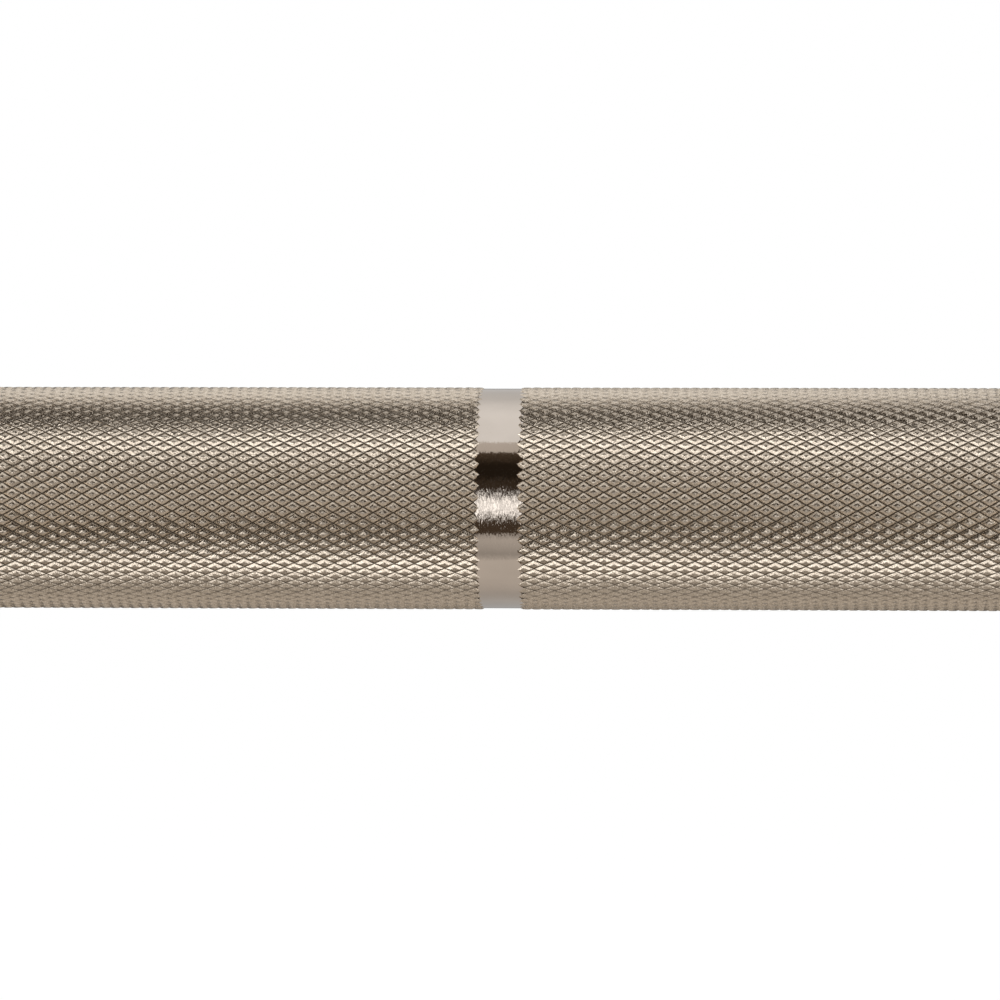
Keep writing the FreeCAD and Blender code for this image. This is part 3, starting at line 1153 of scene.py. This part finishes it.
def seen_directly(tree):
    """1 for rays from the camera, from reflections and through glass, and 0 for the rest."""
    path = add_node(tree, "ShaderNodeLightPath", {}).outputs
    mirrored = maths(tree, "MAXIMUM", path["Is Glossy Ray"], path["Is Transmission Ray"])
    return maths(tree, "MAXIMUM", path["Is Camera Ray"], mirrored)


world = bpy.data.worlds.new("white_tent")
world.use_nodes = True
world.cycles.sampling_method = "NONE"
world_tree = world.node_tree
background = world_tree.nodes["Background"]
background.inputs["Color"].default_value = WHITE
strength = between(world_tree, seen_directly(world_tree), DIFFUSE_WORLD, 1.0)
wire(world_tree, background, Strength=strength)
bpy.context.scene.world = world
print("The world lights the bar at", DIFFUSE_WORLD)

# %% [markdown]
# The floor is a matt sheet far larger than the bar. It lies well below, so that the shadow is
# soft. To the camera and in reflections it glows a little, which brings its grey up to white
# with no more light on the bar.

# %% Pale floor
FLOOR_GREY = (0.8, 0.8, 0.8, 1.0)
FLOOR_GLOW = 0.4
floor_drop = 550 * MM
floor_half = 30.0
floor_paint, floor_tree, floor_shader = new_finish("pale_floor", metallic=0.0)
floor_shader.inputs["Base Color"].default_value = FLOOR_GREY
floor_shader.inputs["Roughness"].default_value = 1.0
floor_shader.inputs["Specular IOR Level"].default_value = 0.0
floor_shader.inputs["Emission Color"].default_value = WHITE
glow = between(floor_tree, seen_directly(floor_tree), 0.0, FLOOR_GLOW)
wire(floor_tree, floor_shader, Emission_Strength=glow)
floor_paint.cycles.emission_sampling = "NONE"

floor_mesh = bpy.data.meshes.new("floor")
square = ((-1, -1), (1, -1), (1, 1), (-1, 1))
floor_corners = [(x * floor_half, y * floor_half, -floor_drop) for x, y in square]
floor_mesh.from_pydata(floor_corners, [], [(0, 1, 2, 3)])
floor_mesh.materials.append(floor_paint)
floor = link("floor", floor_mesh)
print("The floor lies", floor_drop, "m below the bar's axis")

# %% [markdown]
# The flags and cards are strips bent round the bar's axis, and they show in reflections alone.
# Angles run up from the camera's side: 0 is straight in front, 90 overhead, 180 behind and -90
# below. A card can fade along an edge, as one that is out of focus in a curved mirror does. The
# cards hang in five layers, so that where one fades, the one behind it shows.

# %% Hanging a card
CARD_STEPS = 12
FADE_ATTRIBUTE = "card_cover"
card_distance = 500 * MM
layer_gap = 10 * MM


def card_paint(name, brightness, colour):
    """Light of one brightness where the card covers, and nothing where it has faded out."""
    paint = bpy.data.materials.new(name)
    paint.use_nodes = True
    tree = paint.node_tree
    tree.nodes.clear()
    cover = output(tree, "ShaderNodeAttribute", {}, "Fac", attribute_name=FADE_ATTRIBUTE)
    clear = output(tree, "ShaderNodeBsdfTransparent", {})
    light = output(tree, "ShaderNodeEmission", {"Color": colour, "Strength": brightness})
    mix = output(tree, "ShaderNodeMixShader", {0: cover, 1: clear, 2: light})
    add_node(tree, "ShaderNodeOutputMaterial", {"Surface": mix})
    paint.cycles.emission_sampling = "NONE"
    return paint


def hang_card(name, layer, reach, low_angle, high_angle, brightness, colour, low_fade, high_fade):
    """A strip round the axis, along the bar by reach, from low_angle to high_angle degrees.

    It fades out over so many degrees at each edge.
    """
    span = high_angle - low_angle
    angles = [low_angle + span * step / CARD_STEPS for step in range(CARD_STEPS + 1)]
    angles += [low_angle + low_fade] * (low_fade > 0) + [high_angle - high_fade] * (high_fade > 0)
    distance = card_distance + layer * layer_gap
    corners, covers = [], []
    for angle in sorted(angles):
        turn = math.radians(angle)
        cover_low = (angle - low_angle) / low_fade if low_fade else 1.0
        cover_high = (high_angle - angle) / high_fade if high_fade else 1.0
        for x in reach:
            corners.append((x, -distance * math.cos(turn), distance * math.sin(turn)))
            covers.append(max(0.0, min(1.0, cover_low, cover_high)))
    quads = [(k, k + 1, k + 3, k + 2) for k in range(0, len(corners) - 2, 2)]
    mesh = bpy.data.meshes.new(name)
    mesh.from_pydata(corners, [], quads)
    mesh.attributes.new(FADE_ATTRIBUTE, "FLOAT", "POINT").data.foreach_set("value", covers)
    mesh.materials.append(card_paint(name, brightness, colour))
    card = link(name, mesh)
    card.visible_camera = False
    card.visible_diffuse = False
    card.visible_shadow = False


print("Cards hang", card_distance, "m from the axis, in layers", layer_gap, "m apart")

# %% [markdown]
# The smooth ring mirrors what is straight in front of it, and the flanks of the diamonds mirror
# what is out to both sides. So the dark flags hang in front, with a gap between them, and bright
# softboxes stand left and right: the ring comes out dark with one bright line, and the diamonds
# sparkle. Below is a wooden table.

# %% Flags and cards
WOOD = (1.0, 0.925, 0.85, 1.0)
BROWN = (1.0, 0.70, 0.46, 1.0)
WHOLE_BAR = (-1.8, 1.8)
flag_half = 275 * MM
tail_half = 200 * MM
gap_half = 130 * MM
lower_half = 170 * MM
table_half = 140 * MM


def beside_ring(start, stop):
    """A reach along the bar that is given from the right-hand ring mark."""
    return ring_x + start, ring_x + stop


over_flags = beside_ring(-ring_x, ring_x)
flag_reach = beside_ring(-flag_half, flag_half)
tail_reach = beside_ring(-tail_half, tail_half)
lower_reach = beside_ring(-lower_half, lower_half)
table_reach = beside_ring(-table_half, table_half)
inner_wall, outer_wall = beside_ring(-ring_x, -tail_half), beside_ring(tail_half, ring_x)
inner_front, outer_front = beside_ring(-ring_x, -gap_half), beside_ring(gap_half, ring_x)

# Name, layer, reach along the bar, low and high angle, brightness, colour, and the fade at the
# low and the high edge
ring_cards = [
    ("upper_flag", 0, flag_reach, 20, 49, 0.018, BROWN, 0, 14),
    ("flag_shoulder", 1, flag_reach, 30, 48.5, 0.08, BROWN, 0, 0),
    ("flag_tail", 0, tail_reach, -4, 20, 0.04, BROWN, 12, 0),
    ("lower_flag", 0, lower_reach, -37.5, -12.5, 0.06, BROWN, 0, 10),
    ("centre_scrim", 0, table_reach, 60, 145, 0.86, WHITE, 0, 75),
    ("overhead_scrim", 1, over_flags, 60, 125, 0.94, WHITE, 0, 30),
    ("rear_scrim", 2, table_reach, 60, 178, 0.60, WHITE, 0, 20),
    ("table_back", 2, table_reach, -178, -104, 0.44, WHITE, 14, 30),
    ("scrim_edge", 1, over_flags, 48.5, 60, 0.56, WOOD, 0, 0),
    ("inner_softbox", 1, inner_front, -34, 7, 2.2, WHITE, 22, 4),
    ("outer_softbox", 1, outer_front, -34, 7, 2.2, WHITE, 22, 4),
    ("table_middle", 1, table_reach, -150, -64, 0.57, WOOD, 60, 12),
    ("inner_wall", 2, inner_wall, 4, 49, 0.11, WOOD, 0, 0),
    ("outer_wall", 2, outer_wall, 4, 49, 0.11, WOOD, 0, 0),
    ("inner_bench", 2, inner_front, -40, -14, 0.40, WOOD, 0, 0),
    ("outer_bench", 2, outer_front, -40, -14, 0.40, WOOD, 0, 0),
]
bar_cards = [
    ("table_front", 1, WHOLE_BAR, -60, -38, 0.49, WOOD, 14, 4),
    ("rear_flag", 1, WHOLE_BAR, 160, 202, 0.31, WHITE, 12, 12),
    ("table_sides", 2, WHOLE_BAR, -92, -60, 0.60, WOOD, 16, 8),
    ("table", 3, WHOLE_BAR, -118, -37, 0.36, WOOD, 15, 0),
    ("rear_wall", 3, WHOLE_BAR, 60, 178, 0.16, WHITE, 0, 20),
    ("table_shade", 4, WHOLE_BAR, -178, -100, 0.14, WOOD, 18, 0),
]
for card in bar_cards:
    hang_card(*card)
for side, sign in SIDES.items():
    for name, layer, reach, *rest in ring_cards:
        hang_card(f"{side}_{name}", layer, sorted(sign * x for x in reach), *rest)
print("Hung", len(bar_cards) + len(SIDES) * len(ring_cards), "flags and cards")

# %% [markdown]
# One soft lamp overhead gives the floor its shadow. The metal doesn't mirror it, since the cards
# stand in for it there.

# %% Lamp
lamp_length, lamp_width = 3.0, 1.6
lamp_watts = 15.0
lamp_place = (0.0, -0.3, 2.0)
lamp_data = bpy.data.lights.new("overhead_softbox", "AREA")
lamp_data.shape = "RECTANGLE"
lamp_data.size, lamp_data.size_y = lamp_length, lamp_width
lamp_data.energy = lamp_watts
lamp = link("overhead_softbox", lamp_data)
lamp.location = lamp_place
lamp.visible_glossy = False
print("The lamp hangs", lamp.location.z, "m above the bar's axis")

# %% [markdown]
# ## The camera
#
# The portrait is a close one: a hand's width of the bar, with a ring mark in the middle. It is
# seen square on, a few degrees from the sleeve's side, through a long lens, as catalogue pictures
# are. Each number below is a real distance or angle, and the lens follows from the width of bar
# that has to fill the frame.

# %% Camera
bpy.context.scene.view_settings.view_transform = "Standard"
SENSOR_WIDTH = 36.0
frame_width = 129.8 * MM
camera_distance = 600 * MM
camera_azimuth = math.radians(2.6)
camera_roll = math.radians(0.137)
aim_inwards = 0.21 * MM  # from the ring's middle
aim_below = 0.2 * MM  # the axis

camera_data = bpy.data.cameras.new("portrait")
camera_data.sensor_width = SENSOR_WIDTH
camera_data.lens = camera_data.sensor_width * camera_distance / frame_width
camera = link("portrait", camera_data)
aim = Vector((ring_x - aim_inwards, 0.0, -aim_below))
back = Vector((math.sin(camera_azimuth), -math.cos(camera_azimuth), 0.0))
level_view = (-back).to_track_quat("-Z", "Y")
camera.location = aim + back * camera_distance
camera.rotation_mode = "QUATERNION"
camera.rotation_quaternion = level_view @ Quaternion((0, 0, 1), camera_roll)
bpy.context.scene.camera = camera
print(f"The lens is {camera_data.lens:.1f} mm")
